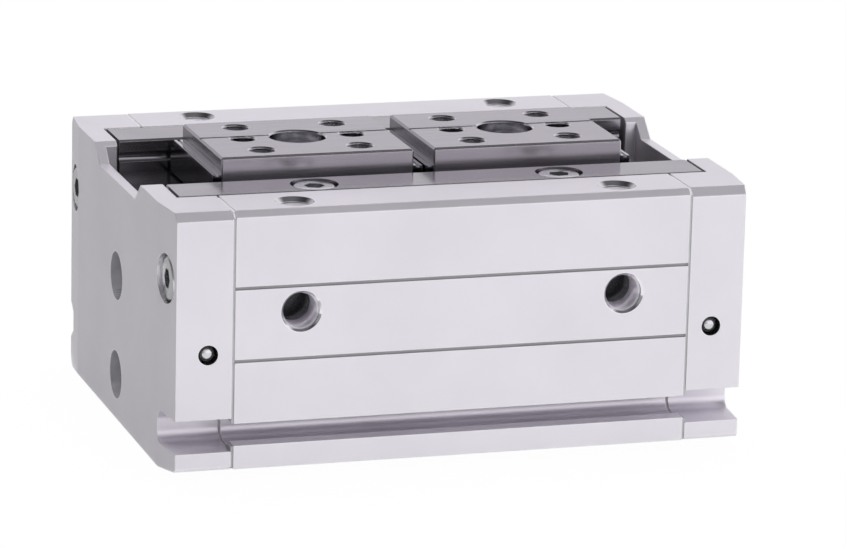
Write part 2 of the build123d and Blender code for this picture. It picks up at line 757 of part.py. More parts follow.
def piston_groove_starts():
    """Start from the outer face, width and depth of the grooves in a piston."""
    seal_start = piston_land
    magnet_start = seal_start + seal_width + piston_land
    wear_start = magnet_start + magnet_width + piston_land
    return {"seal": (seal_start, seal_width, seal_groove_depth),
            "magnet": (magnet_start, magnet_width, magnet_groove_depth),
            "wear": (wear_start, wear_ring_width, wear_groove_depth)}


def piston_places():
    """Middle of each piston along X and the direction that its outer face looks in."""
    return [(-(piston_start_x - piston_length / 2), -1), (rack_end_x + piston_length / 2, 1)]


def make_left_rings(kind, set_back, every_piston):
    """Rings of one kind around the pistons of the front rack."""
    start, width, depth = piston_groove_starts()[kind]
    places = piston_places() if every_piston else piston_places()[:1]
    with BuildPart() as rings:
        for centre, outward in places:
            outer_x = centre + outward * piston_length / 2
            with BuildSketch(Plane.YZ.offset(outer_x - outward * start)):
                with Locations((front_bore_y, bore_z)):
                    Circle(bore_radius - set_back)
                    Circle(bore_radius - depth, mode=Mode.SUBTRACT)
            extrude(amount=-outward * width)
    return rings.part


def make_left_piston_screws():
    """The screws that hold the piston heads to the rack bar."""
    screw = socket_screw(m4_head, m4_head_height, m4_shank - screw_gap, piston_screw_length,
                         m4_key, m4_key_depth)
    spots = []
    for centre, outward in piston_places():
        seat_x = centre + outward * (piston_length / 2 - piston_head_depth - m4_head_height)
        spots.append(Location((seat_x, front_bore_y, bore_z), (0, 90 * outward, 0)))
    with BuildPart() as screws:
        with Locations(*spots):
            add(screw)
    return screws.part


def make_left_finger(line_y):
    """The left finger block: ball-guided base, raised top with its hole pattern."""
    with BuildPart() as finger:
        for width, high_z in ((finger_base_width, finger_ledge_z),
                              (finger_top_width, finger_top_z)):
            with Locations((-finger_middle_x, 0, (finger_bottom_z + high_z) / 2)):
                Box(finger_length, width, high_z - finger_bottom_z)
        standing = finger.edges().filter_by(Axis.Z).group_by(Axis.Z)[-1]
        chamfer(standing, finger_corner_chamfer)
        chamfer(finger.faces().sort_by(Axis.Z)[-1].edges(), finger_edge_chamfer)

        # Ball tracks, return holes and the shallow line across the top
        with BuildSketch(Plane.YZ.offset(-finger_outer_x)):
            with Locations((-ball_y, ball_z), (ball_y, ball_z)):
                Circle(ball_radius + ball_gap)
            with Locations((-return_hole_y, ball_z), (return_hole_y, ball_z)):
                Circle(return_hole_radius)
            with Locations((line_y, finger_top_z)):
                Rectangle(finger_line_width, 2 * finger_line_depth)
        extrude(amount=finger_length, mode=Mode.SUBTRACT)

        # Threaded holes, pin holes and the stepped middle bore
        thread_depth = finger_top_z - finger_bottom_z
        seat_depth = finger_top_z - finger_screw_seat_z
        patterns = ((finger_thread_radius, thread_depth, finger_hole_pitch, 2, 2),
                    (pin_hole_radius, pin_hole_depth, pin_hole_pitch, 2, 1),
                    (finger_bore_radius, finger_bore_depth, finger_hole_pitch, 1, 1),
                    (finger_head_radius + finger_head_gap, seat_depth, finger_hole_pitch, 1, 1),
                    (finger_shank_radius + screw_gap, thread_depth, finger_hole_pitch, 1, 1))
        for radius, depth, pitch, along, across in patterns:
            with BuildSketch(Plane.XY.offset(finger_top_z)):
                with Locations((-finger_middle_x, 0)):
                    with GridLocations(pitch, finger_hole_pitch, along, across):
                        Circle(radius)
            extrude(amount=-depth, mode=Mode.SUBTRACT)
        mouths = finger.edges().filter_by(GeomType.CIRCLE).group_by(Axis.Z)[-1]
        chamfer(mouths, finger_thread_mouth - finger_thread_radius)
    return finger.part


def make_left_finger_screw():
    """The low-head screw that ties the finger to its drive block."""
    shank_length = finger_screw_seat_z - drive_flange_bottom_z - finger_screw_end_gap
    screw = socket_screw(finger_head_radius, finger_head_height, finger_shank_radius - screw_gap,
                         shank_length, m4_key, 1.6)
    with BuildPart() as placed:
        with Locations((-finger_middle_x, 0, finger_screw_seat_z)):
            add(screw)
    return placed.part


def make_left_end_plates():
    """The plates at both ends of the finger that turn the balls round."""
    with BuildPart() as plates:
        for end in (-1, 1):
            middle_x = -finger_middle_x + end * (finger_length + end_plate_thickness) / 2
            for width, high_z in ((end_plate_width, finger_ledge_z),
                                  (finger_top_width, end_plate_top_z)):
                with Locations((middle_x, 0, (finger_bottom_z + high_z) / 2)):
                    Box(end_plate_thickness, width, high_z - finger_bottom_z)
            with Locations((middle_x, 0, end_plate_top_z)):
                Box(end_plate_line_width, finger_top_width, 2 * end_plate_line_depth,
                    mode=Mode.SUBTRACT)
    return plates.part


def make_left_balls():
    """The loaded balls on both sides of the finger."""
    with BuildPart() as balls:
        with Locations((-finger_middle_x, 0, ball_z)):
            with GridLocations(ball_pitch, 2 * ball_y, ball_count, 2):
                Sphere(ball_radius)
    return balls.part


save(make_body(), "body")
for side, word in ((-1, "left"), (1, "right")):
    save(make_cap(side), f"{word}_end_cap")
    save(make_gasket(side), f"{word}_gasket")
save(make_cap_screws(), "cap_screws")
save(make_rail(), "guide_rail")
save(make_rail_screws(), "rail_screws")
save(make_passage_plugs(), "passage_plugs")
save(make_pinion_cover(), "pinion_cover")
save(make_cover_screws(), "cover_screws")
save(make_shaft(), "pinion_shaft")
save(make_pinion(), "pinion")

# The line across the top lies on the far side of both fingers, all else is half-turn symmetric
save(make_left_finger(finger_line_y), "left_finger")
save(turned(make_left_finger(-finger_line_y)), "right_finger")
carriage = {
    "finger_screw": make_left_finger_screw(),
    "end_plates": make_left_end_plates(),
    "guide_balls": make_left_balls(),
    "drive_block": make_left_drive_block(),
    "drive_screws": make_left_drive_screws(),
    "rack": make_left_rack(),
    "pistons": make_left_pistons(),
    "piston_seals": make_left_rings("seal", ring_clearance, True),
    "wear_rings": make_left_rings("wear", ring_clearance, True),
    "magnet": make_left_rings("magnet", magnet_set_back, False),
    "piston_screws": make_left_piston_screws(),
}
for piece, shape in carriage.items():
    save(shape, f"left_{piece}")
    save(turned(shape), f"right_{piece}")
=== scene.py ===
import math

import bpy
from mathutils import Matrix, Vector


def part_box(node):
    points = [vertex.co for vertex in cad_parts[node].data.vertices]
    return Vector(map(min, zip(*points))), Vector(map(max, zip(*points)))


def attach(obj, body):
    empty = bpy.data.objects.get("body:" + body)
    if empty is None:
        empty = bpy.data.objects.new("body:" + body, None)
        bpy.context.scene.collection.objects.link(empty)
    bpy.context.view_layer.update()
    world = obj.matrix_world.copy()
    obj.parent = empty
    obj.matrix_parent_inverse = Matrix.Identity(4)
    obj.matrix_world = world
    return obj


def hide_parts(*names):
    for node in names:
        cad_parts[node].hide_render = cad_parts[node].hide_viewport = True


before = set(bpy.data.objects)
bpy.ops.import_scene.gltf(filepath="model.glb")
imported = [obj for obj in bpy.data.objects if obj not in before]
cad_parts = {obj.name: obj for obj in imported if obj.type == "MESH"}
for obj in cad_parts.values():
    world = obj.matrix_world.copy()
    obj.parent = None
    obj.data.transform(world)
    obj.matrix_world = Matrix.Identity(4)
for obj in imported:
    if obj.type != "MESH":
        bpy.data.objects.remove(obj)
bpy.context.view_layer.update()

bl_info = {
    "name": "Air Gripper Looks",
    "version": (1, 0, 0),
    "blender": (4, 5, 0),
    "location": "3D View > Sidebar > Gripper",
    "description": "Gives the packed two-finger air gripper its metals, screws and threads",
    "category": "Object",
}

MM = 0.001
SAME = 1e-6  # metres within which two heights count as one
WELD = 1e-7  # metres within which two corners become one
FLOOR_SQUARE = 0.93  # a face this square to a hole's axis is the hole's floor
X, Y, Z = 0, 1, 2

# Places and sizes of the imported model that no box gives, in millimetres: holes are measured
# from the model's or the finger's middle, and the sunk screws from the ones near the surface
PORT_X = 26.8
PORT_Z = 26.9
PORT_RADIUS = 3.0
MOUNT_X = 26.8
MOUNT_Y = 30.8
MOUNT_RADIUS = 2.5
FINGER_THREAD = 8.25
FINGER_THREAD_RADIUS = 2.1
FINGER_PIN = 9.25
FINGER_BORE_RADIUS = 4.6
HEAD_RADIUS = 3.5
HEAD_HEIGHT = 4.0
SHANK_RADIUS = 1.98
SOCKET_WIDTH = 3.0
SOCKET_DEPTH = 2.2
SUNK_BELOW = 2.6
SUNK_SPACING = 16.65
PLUG_RADIUS = 1.59

# The camera fitted to the photograph: its axes, and its place in metres
CAMERA_RIGHT = Vector((0.95584, -0.29298, 0.02299))
CAMERA_DOWN = Vector((-0.05202, -0.24566, -0.96796))
CAMERA_AHEAD = Vector((0.28925, 0.92402, -0.25006))
CAMERA_PLACE = Vector((-0.23059, -0.75028, 0.22519))


# Helpers for mesh work

def object_mode():
    """Leave edit mode if a mesh is open."""
    if bpy.context.mode != "OBJECT":
        bpy.ops.object.mode_set(mode="OBJECT")


def only(obj):
    """Make one object the only selected and active one."""
    object_mode()
    bpy.ops.object.select_all(action="DESELECT")
    obj.select_set(True)
    bpy.context.view_layer.objects.active = obj


def nothing_selected():
    """Drop every selection before a primitive is added."""
    object_mode()
    bpy.ops.object.select_all(action="DESELECT")


def pick(obj, mode, test):
    """Select the vertices, edges or faces that pass a test, and stay in edit mode."""
    only(obj)
    bpy.ops.object.mode_set(mode="EDIT")
    bpy.ops.mesh.select_mode(type=mode)
    bpy.ops.mesh.select_all(action="DESELECT")
    bpy.ops.object.mode_set(mode="OBJECT")
    mesh = obj.data
    corners = mesh.vertices
    if mode == "VERT":
        for corner in corners:
            corner.select = test(corner.co)
    elif mode == "EDGE":
        for edge in mesh.edges:
            ends = [corners[index].co for index in edge.vertices]
            edge.select = test(ends[0], ends[1])
    else:
        for face in mesh.polygons:
            face.select = test(face.center, face.normal)
    bpy.ops.object.mode_set(mode="EDIT")


def apply_all(obj):
    """Apply every modifier and put the object's place into its mesh."""
    only(obj)
    for modifier in list(obj.modifiers):
        bpy.ops.object.modifier_apply(modifier=modifier.name)
    bpy.ops.object.transform_apply(location=True, rotation=True, scale=True)


def copies_at(obj, places, name):
    """Join copies of one modelled piece, placed by matrices, into one object at the origin."""
    made = []
    for place in places:
        twin = obj.copy()
        twin.data = obj.data.copy()
        bpy.context.collection.objects.link(twin)
        twin.data.transform(place)
        made.append(twin)
    bpy.data.objects.remove(obj)
    nothing_selected()
    for twin in made:
        twin.select_set(True)
    bpy.context.view_layer.objects.active = made[0]
    if len(made) > 1:
        bpy.ops.object.join()
    joined = bpy.context.view_layer.objects.active
    joined.name = name
    joined.data.name = name
    return joined


def outward(obj):
    """Weld a mesh's doubled corners and turn its faces outwards."""
    only(obj)
    bpy.ops.object.mode_set(mode="EDIT")
    bpy.ops.mesh.select_all(action="SELECT")
    bpy.ops.mesh.remove_doubles(threshold=WELD)
    bpy.ops.mesh.normals_make_consistent(inside=False)
    bpy.ops.object.mode_set(mode="OBJECT")


def smooth(obj, degrees):
    """Shade smooth below an angle."""
    only(obj)
    bpy.ops.object.shade_smooth_by_angle(angle=math.radians(degrees))


def dress(obj, material):
    """Give a mesh one material."""
    obj.data.materials.clear()
    obj.data.materials.append(material)


def bared(name, shell, others, body="housing"):
    """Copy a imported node, give its cut faces their own metals and let it stand for the node."""
    only(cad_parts[name])
    bpy.ops.object.duplicate()
    piece = bpy.context.view_layer.objects.active
    piece.name = f"{name}_machined"
    piece.data.name = piece.name
    dress(piece, shell)
    for face in piece.data.polygons:
        face.material_index = 0
    for index, (bare, cut) in enumerate(others, start=1):
        piece.data.materials.append(bare)
        pick(piece, "FACE", cut)
        piece.active_material_index = index
        bpy.ops.object.material_slot_assign()
        object_mode()
    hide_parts(name)
    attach(piece, body)
    return piece


def in_hole(spot, normal, axis, holes, radius, floor=False):
    """Tell whether a face lies on the wall, or else the floor, of a hole along an axis."""
    if (abs(normal[axis]) > FLOOR_SQUARE) != floor:
        return False
    across = [index for index in range(3) if index != axis]
    return any(math.hypot(spot[across[0]] / MM - one, spot[across[1]] / MM - two) < radius
               for one, two in holes)


def four(x, y, middle=0.0):
    """Places of four holes around a middle on the X axis."""
    return [(middle + a * x, b * y) for a in (-1, 1) for b in (-1, 1)]


def dress_node(name, material):
    """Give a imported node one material, leaving its mesh as it is."""
    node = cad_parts[name]
    if not node.data.materials:
        node.data.materials.append(material)
    for index in range(len(node.data.materials)):
        node.data.materials[index] = material


# Helpers for shader nodes, where a value is either a socket to read or a constant

NOISE_SPAN = (0.3, 0.7)    # nearly all of a noise lies between these
EDGE_SPAN = (0.995, 0.93)  # agreement of true and softened normal, from flat to edge
GRAIN_HEIGHT = 0.04        # millimetres
WHITE = (1.0, 1.0, 1.0, 1.0)
MIX_SHARE, MIX_FIRST, MIX_SECOND, MIX_RESULT = 0, 6, 7, 2  # a mix node's colour sockets


def feed(tree, entry, value):
    """Let a node's input read a socket, or hold a constant."""
    if isinstance(value, bpy.types.NodeSocket):
        tree.links.new(value, entry)
    else:
        entry.default_value = value


def maths(tree, operation, *values):
    """Add a math node and return its result."""
    step = tree.nodes.new("ShaderNodeMath")
    step.operation = operation
    for entry, value in zip(step.inputs, values):
        feed(tree, entry, value)
    return step.outputs["Value"]


def ramp(tree, value, given, wanted, curve="SMOOTHSTEP"):
    """Lead a value from a given span to a wanted one and return the result."""
    step = tree.nodes.new("ShaderNodeMapRange")
    step.interpolation_type = curve
    step.inputs["From Min"].default_value = given[0]
    step.inputs["From Max"].default_value = given[1]
    step.inputs["To Min"].default_value = wanted[0]
    step.inputs["To Max"].default_value = wanted[1]
    feed(tree, step.inputs["Value"], value)
    return step.outputs["Result"]


def mixed(tree, share, first, second):
    """Mix two colours and return the result."""
    step = tree.nodes.new("ShaderNodeMix")
    step.data_type = "RGBA"
    feed(tree, step.inputs[MIX_SHARE], share)
    feed(tree, step.inputs[MIX_FIRST], first)
    feed(tree, step.inputs[MIX_SECOND], second)
    return step.outputs[MIX_RESULT]


def noise(tree, place, scale, detail):
    """Add a noise over some coordinates and return its value."""
    step = tree.nodes.new("ShaderNodeTexNoise")
    step.inputs["Scale"].default_value = scale
    step.inputs["Detail"].default_value = detail
    tree.links.new(place, step.inputs["Vector"])
    return step.outputs["Fac"]


def along(tree, place):
    """Split coordinates into their X, Y and Z."""
    step = tree.nodes.new("ShaderNodeSeparateXYZ")
    tree.links.new(place, step.inputs["Vector"])
    return step.outputs


def shown(tree, share, first, second, output):
    """Mix two shaders and lead them into a new output node."""
    both = tree.nodes.new("ShaderNodeMixShader")
    end = tree.nodes.new(output)
    tree.links.new(share, both.inputs[0])
    tree.links.new(first, both.inputs[1])
    tree.links.new(second, both.inputs[2])
    tree.links.new(both.outputs["Shader"], end.inputs["Surface"])


# Metals

def shaded(tone, share):
    """A colour made darker, or lighter, by a share."""
    return tuple(value * share for value in tone)


def metal(name, light, dark, metallic=0.8, rough=(0.3, 0.42), grain=5000.0, relief=0.12,
          streaks=None, streak_depth=0.25, mottle=90.0, edge_width=0.12, painted_shade=None,
          edge_highlight=0.0):
    """Make or find a procedural metal with mottled colour, fine relief and softened edges.

    streaks: scale of the ground marks along each axis, in place of an even grain.
    edge_width: radius of the softened edges in millimetres.
    painted_shade: two heights in millimetres, and how bright the metal stays at the lower one;
    below the upper height the colour is painted darker, a painted shade.
    edge_highlight: how white its edges are painted, a painted highlight.
    """
    found = bpy.data.materials.get(name)
    if found:
        return found
    made = bpy.data.materials.new(name)
    made.use_nodes = True
    tree = made.node_tree
    nodes = tree.nodes
    links = tree.links
    place = nodes.new("ShaderNodeTexCoord").outputs["Object"]

    mottling = ramp(tree, noise(tree, place, mottle, 3.0), NOISE_SPAN, (0.0, 1.0), "LINEAR")
    if streaks:
        stretch = nodes.new("ShaderNodeMapping")
        stretch.inputs["Scale"].default_value = streaks
        links.new(place, stretch.inputs["Vector"])
        height = noise(tree, stretch.outputs["Vector"], 1.0, 2.0)
    else:
        height = noise(tree, place, grain, 2.0)
    share = maths(tree, "MULTIPLY_ADD", height, streak_depth,
                  maths(tree, "MULTIPLY", mottling, 1.0 - streak_depth))
    colour = mixed(tree, share, (*dark, 1.0), (*light, 1.0))

    soft = nodes.new("ShaderNodeBevel")
    soft.samples = 6
    soft.inputs["Radius"].default_value = edge_width * MM
    # Painted shade: below a given height the colour is darkened, so channels and recesses look
    # shaded.
    if painted_shade:
        lower, upper, kept = painted_shade
        shade_scale = nodes.new("ShaderNodeVectorMath")
        shade_scale.operation = "SCALE"
        links.new(colour, shade_scale.inputs[0])
        links.new(ramp(tree, along(tree, place)["Z"], (lower * MM, upper * MM), (kept, 1.0)),
                  shade_scale.inputs["Scale"])
        colour = shade_scale.outputs["Vector"]
    # Painted highlight: the colour turns towards white along the softened edges.
    if edge_highlight:
        flat = nodes.new("ShaderNodeNewGeometry")
        bend = nodes.new("ShaderNodeVectorMath")
        bend.operation = "DOT_PRODUCT"
        links.new(soft.outputs["Normal"], bend.inputs[0])
        links.new(flat.outputs["Normal"], bend.inputs[1])
        highlight_share = ramp(tree, bend.outputs["Value"], EDGE_SPAN, (0.0, edge_highlight), "LINEAR")
        colour = mixed(tree, highlight_share, colour, WHITE)

    bump = nodes.new("ShaderNodeBump")
    bump.inputs["Strength"].default_value = relief
    bump.inputs["Distance"].default_value = GRAIN_HEIGHT * MM
    links.new(height, bump.inputs["Height"])
    links.new(soft.outputs["Normal"], bump.inputs["Normal"])
    shader = nodes["Principled BSDF"]
    shader.inputs["Metallic"].default_value = metallic
    links.new(colour, shader.inputs["Base Color"])
    links.new(ramp(tree, height, NOISE_SPAN, rough, "LINEAR"), shader.inputs["Roughness"])
    links.new(bump.outputs["Normal"], shader.inputs["Normal"])
    return made


def screw_steel():
    """The bright steel that screws and plugs share."""
    tone = tuple(bpy.context.scene.gripper_finishes.screw)
    return metal("bright screw steel", tone, shaded(tone, 0.88), metallic=0.95,
                 rough=(0.14, 0.24), grain=3000.0, relief=0.05)


def soft_matt(name, light, dark, rough=(0.6, 0.8)):
    """A procedural rubber or plastic with a fine moulded grain."""
    return metal(name, light, dark, metallic=0.0, rough=rough, grain=3000.0, relief=0.2)


class GripperFinishes(bpy.types.PropertyGroup):
    """Colours of the gripper's metals."""
    housing: bpy.props.FloatVectorProperty(
        name="Housing", description="Blasted and anodised aluminium of the body and caps",
        subtype="COLOR", default=(0.83, 0.80, 0.86), min=0.0, max=1.0)
    rail: bpy.props.FloatVectorProperty(
        name="Rail", description="Ground hardened steel of the guide channel",
        subtype="COLOR", default=(0.39, 0.37, 0.405), min=0.0, max=1.0)
    finger: bpy.props.FloatVectorProperty(
        name="Fingers", description="Fine-ground steel of the fingers",
        subtype="COLOR", default=(0.45, 0.425, 0.465), min=0.0, max=1.0)
    plate: bpy.props.FloatVectorProperty(
        name="End plates", description="Polished steel of the plates at the finger ends",
        subtype="COLOR", default=(0.55, 0.55, 0.58), min=0.0, max=1.0)
    screw: bpy.props.FloatVectorProperty(
        name="Screws", description="Bright steel of screws and plugs",
        subtype="COLOR", default=(0.72, 0.72, 0.74), min=0.0, max=1.0)


class GripperStage(bpy.types.PropertyGroup):
    """Floor, lamps and camera."""
    key_power: bpy.props.FloatProperty(
        name="Key lamp", description="Power of the large lamp at the front right", default=4.7,
        min=0.0, unit="POWER")
    fill_power: bpy.props.FloatProperty(
        name="Fill lamp", description="Power of the lamp overhead", default=17.5,
        min=0.0, unit="POWER")
    ambient: bpy.props.FloatProperty(
        name="Ambient", description="Strength of the surrounding light", default=0.45, min=0.0)
    lens: bpy.props.FloatProperty(
        name="Lens", description="Focal length of the camera in millimetres", default=208.2,
        min=20.0)


class GRIPPER_OT_housing(bpy.types.Operator):
    """Dress the aluminium body, caps and cover"""
    bl_idname = "gripper.housing"
    bl_label = "Housing"

    def execute(self, context):
        tone = tuple(context.scene.gripper_finishes.housing)
        # The housing metal carries painted highlights along its edges.
        cast = metal("blasted aluminium", tone, shaded(tone, 0.93), metallic=0.74,
                     rough=(0.32, 0.4), grain=4200.0, relief=0.07, mottle=60.0,
                     edge_width=0.3, edge_highlight=0.9)
        cut = metal("machined aluminium", (0.9, 0.89, 0.92), (0.8, 0.79, 0.82), metallic=1.0,
                    rough=(0.1, 0.16), streaks=(500.0, 500.0, 500.0), streak_depth=0.2,
                    relief=0.004, mottle=40.0)
        milled = metal("milled aluminium", (0.86, 0.85, 0.88), (0.8, 0.79, 0.82), metallic=0.7,
                       rough=(0.14, 0.2), streaks=(500.0, 500.0, 500.0), streak_depth=0.15,
                       relief=0.002, mottle=40.0)
        # Near-black metal for the port floors and the passage plugs' hole walls: painted shade
        # deep in the holes.
        hole_shade = metal("oiled hole floor", (0.07, 0.07, 0.075), (0.05, 0.05, 0.055),
                     metallic=0.6, rough=(0.2, 0.3), relief=0.05)
        # The fine grooves of the front face are painted half as bright: painted shade in the
        # grooves.
        shade = metal("band line aluminium", shaded(tone, 0.5), shaded(tone, 0.42),
                      metallic=0.7, rough=(0.4, 0.5), relief=0.05)
        dress_node("pinion_cover", cast)
        low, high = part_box("body")
        front = low[1] / MM
        top = high[2] / MM
        ports = [(side * PORT_X, PORT_Z) for side in (-1, 1)]
        mounts = four(MOUNT_X, MOUNT_Y)
        port_reach = 8.0
        mount_reach = 12.0
        floor_depths = (2.0, 12.0)
        line_depths = (0.02, 0.9)
        line_heights = (15.0, 36.0)

        def hole_wall(spot, normal):
            """Walls and chamfers of the ports and mounting holes."""
            return ((spot.y / MM < front + port_reach
                     and in_hole(spot, normal, Y, ports, PORT_RADIUS + 0.5))
                    or (spot.z / MM > top - mount_reach
                        and in_hole(spot, normal, Z, mounts, MOUNT_RADIUS + 0.7)))

        def port_floor(spot, normal):
            """Floors of the ports, which are painted near black as shade."""
            return (floor_depths[0] < spot.y / MM - front < floor_depths[1]
                    and in_hole(spot, normal, Y, ports, PORT_RADIUS + 0.1, floor=True))

        def band_line(spot, normal):
            """Fine lines in the front face, whatever way their faces turn."""
            return (line_depths[0] < spot.y / MM - front < line_depths[1]
                    and line_heights[0] < spot.z / MM < line_heights[1]
                    and not in_hole(spot, (0.0, 0.0, 0.0), Y, ports, PORT_RADIUS + 0.6))

        bared("body", cast, ((cut, hole_wall), (hole_shade, port_floor), (shade, band_line)))

        low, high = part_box("cap_screws")
        outer_y = high[1] / MM - HEAD_RADIUS
        upper_z = high[2] / MM - HEAD_RADIUS
        sunk_z = low[2] / MM + HEAD_RADIUS
        screws = [(-outer_y, upper_z), (outer_y, upper_z),
                  (0.0, sunk_z), (0.0, sunk_z + SUNK_SPACING)]
        low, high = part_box("passage_plugs")
        plug_x = high[0] / MM - PLUG_RADIUS
        plug_z = (low[2] + high[2]) / 2 / MM
        plugs = [(-plug_x, plug_z), (plug_x, plug_z)]
        for side in ("left", "right"):
            bared(f"{side}_end_cap", cast, (
                (milled, lambda spot, normal:
                 in_hole(spot, normal, X, screws, HEAD_RADIUS + 0.8)),
                # The passage plugs' hole walls get the near-black painted shade.
                (hole_shade, lambda spot, normal:
                 in_hole(spot, normal, Y, plugs, PLUG_RADIUS + 0.21))))
        rubber = soft_matt("gasket sheet", (0.62, 0.61, 0.63), (0.5, 0.5, 0.52))
        for name in ("left_gasket", "right_gasket"):
            dress_node(name, rubber)
        return {"FINISHED"}


class GRIPPER_OT_guide(bpy.types.Operator):
    """Dress the ground steel rail, its balls and the fingers with their end plates"""
    bl_idname = "gripper.guide"
    bl_label = "Rail and fingers"

    def execute(self, context):
        tones = context.scene.gripper_finishes
        # The rail is painted darker from 43.2 mm downwards: painted shade in its channel.
        ground = metal("ground rail steel", tuple(tones.rail), shaded(tones.rail, 0.86),
                       metallic=0.9, rough=(0.13, 0.2), streaks=(40.0, 3000.0, 3000.0),
                       streak_depth=0.15, relief=0.006, painted_shade=(36.0, 43.2, 0.14))
        dress_node("guide_rail", ground)
        # The fingers are painted darker below 42.6 mm and whiter along their edges: painted shade
        # and painted highlights.
        fine = metal("fine ground steel", tuple(tones.finger), shaded(tones.finger, 0.94),
                     metallic=0.9, rough=(0.2, 0.27), streaks=(60.0, 2600.0, 2600.0),
                     streak_depth=0.1, relief=0.006, painted_shade=(41.4, 42.6, 0.5), edge_highlight=0.35)
        # The end plates are painted darker below 43.1 mm: painted shade.
        plate = metal("polished plate steel", tuple(tones.plate), shaded(tones.plate, 0.9),
                      metallic=1.0, rough=(0.1, 0.16), streaks=(900.0, 90.0, 900.0),
                      streak_depth=0.15, relief=0.01, painted_shade=(43.1, 43.7, 0.18))
        ball = metal("ball steel", (0.8, 0.8, 0.82), (0.74, 0.74, 0.77), metallic=1.0,
                     rough=(0.04, 0.09), relief=0.02)
        bored = metal("bored steel", (0.72, 0.71, 0.74), (0.64, 0.63, 0.66), metallic=1.0,
                      rough=(0.1, 0.17), streaks=(500.0, 500.0, 900.0), streak_depth=0.3,
                      relief=0.01)
        for side in ("left", "right"):
            low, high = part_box(f"{side}_finger")
            middle = (low[0] + high[0]) / 2 / MM
            holes = four(FINGER_THREAD, FINGER_THREAD, middle)
            holes += [(middle + a * FINGER_PIN, 0.0) for a in (-1, 1)]
            bore = [(middle, 0.0)]
            bared(f"{side}_finger", fine, (
                (bored, lambda spot, normal:
                 in_hole(spot, normal, Z, holes, FINGER_THREAD_RADIUS + 0.4)
                 or in_hole(spot, normal, Z, bore, FINGER_BORE_RADIUS + 0.35)),),
                  f"{side}_carriage")
            dress_node(f"{side}_end_plates", plate)
            dress_node(f"{side}_guide_balls", ball)
        return {"FINISHED"}


class GRIPPER_OT_drive(bpy.types.Operator):
    """Dress the screws, racks, pinion, pistons and their rings"""
    bl_idname = "gripper.drive"
    bl_label = "Drive"

    def execute(self, context):
        gear = metal("milled gear steel", (0.36, 0.36, 0.38), (0.28, 0.28, 0.30), metallic=0.9,
                     rough=(0.28, 0.42), streaks=(900.0, 900.0, 6000.0), streak_depth=0.4,
                     relief=0.12)
        turned = metal("turned piston aluminium", (0.70, 0.70, 0.72), (0.62, 0.62, 0.64),
                       metallic=0.85, rough=(0.25, 0.38), streaks=(9000.0, 300.0, 300.0),
                       streak_depth=0.4, relief=0.10)
        rubber = soft_matt("seal rubber", (0.025, 0.025, 0.026), (0.014, 0.014, 0.015))
        liner = soft_matt("wear ring plastic", (0.66, 0.62, 0.52), (0.58, 0.55, 0.46),
                          rough=(0.45, 0.6))
        magnet = soft_matt("bonded magnet", (0.055, 0.055, 0.06), (0.035, 0.035, 0.04),
                           rough=(0.5, 0.65))
        screw = screw_steel()
        for name in ("pinion", "pinion_shaft"):
            dress_node(name, gear)
        for name in ("cap_screws", "rail_screws", "cover_screws", "passage_plugs"):
            dress_node(name, screw)
        for side in ("left", "right"):
            dress_node(f"{side}_rack", gear)
            dress_node(f"{side}_drive_block", gear)
            dress_node(f"{side}_pistons", turned)
            dress_node(f"{side}_piston_seals", rubber)
            dress_node(f"{side}_wear_rings", liner)
            dress_node(f"{side}_magnet", magnet)
            for name in ("finger_screw", "drive_screws", "piston_screws"):
                dress_node(f"{side}_{name}", screw)
        return {"FINISHED"}


def cylinder(radius, low, high, sides):
    """Add an upright cylinder between two heights, in millimetres."""
    nothing_selected()
    bpy.ops.mesh.primitive_cylinder_add(vertices=sides, radius=radius * MM,
                                        depth=(high - low) * MM,
                                        location=(0.0, 0.0, (low + high) * MM / 2))
    bpy.ops.object.transform_apply(location=True)
    return bpy.context.object


def socket_screw(head, height, shank, length, key, key_depth):
    """Model a knurled socket-head screw in millimetres, its seat at the origin, head upwards."""
    sides = 72
    rounding = 0.45
    knurl_gap = 0.18
    knurl_depth = 0.975
    drill_tip = 0.4
    tip_share = 0.35
    end_chamfer = 0.5

    screw = cylinder(head, 0.0, height, sides)
    top = height * MM - SAME
    pick(screw, "EDGE", lambda start, end: start.z > top and end.z > top)
    bpy.ops.mesh.bevel(offset=rounding * MM, segments=3, affect="EDGES")
    pick(screw, "FACE", lambda middle, normal: abs(normal.z) < 0.1)
    bpy.ops.mesh.inset(thickness=knurl_gap * MM, use_even_offset=True)
    step = 2 * math.pi / sides
    pick(screw, "FACE", lambda middle, normal: abs(normal.z) < 0.1
         and int(math.atan2(middle.y, middle.x) // step) % 2 == 0
         and abs(middle.z - (height - rounding) * MM / 2) < 0.1 * MM)
    bpy.ops.transform.resize(value=(knurl_depth, knurl_depth, 1.0),
                             center_override=(0.0, 0.0, 0.0))
    object_mode()

    cutter = cylinder(key / math.sqrt(3), height - key_depth, height + key_depth, 6)
    low = (height - key_depth) * MM
    pick(cutter, "VERT", lambda spot: spot.z < low + SAME)
    bpy.ops.mesh.extrude_region_move(
        TRANSFORM_OT_translate={"value": (0.0, 0.0, -drill_tip * MM)})
    bpy.ops.transform.resize(value=(tip_share, tip_share, 1.0), center_override=(0.0, 0.0, low))
    object_mode()
    cut = screw.modifiers.new("socket", "BOOLEAN")
    cut.operation = "DIFFERENCE"
    cut.solver = "EXACT"
    cut.object = cutter
    apply_all(screw)
    bpy.data.objects.remove(cutter)

    rod = cylinder(shank, -length, 0.0, 40)
    end_z = -length * MM + SAME
    pick(rod, "EDGE", lambda start, end: start.z < end_z and end.z < end_z)
    bpy.ops.mesh.bevel(offset=end_chamfer * MM, segments=1, affect="EDGES")
    object_mode()
    nothing_selected()
    rod.select_set(True)
    screw.select_set(True)
    bpy.context.view_layer.objects.active = screw
    bpy.ops.object.join()
    outward(screw)
    smooth(screw, 34)
    return screw


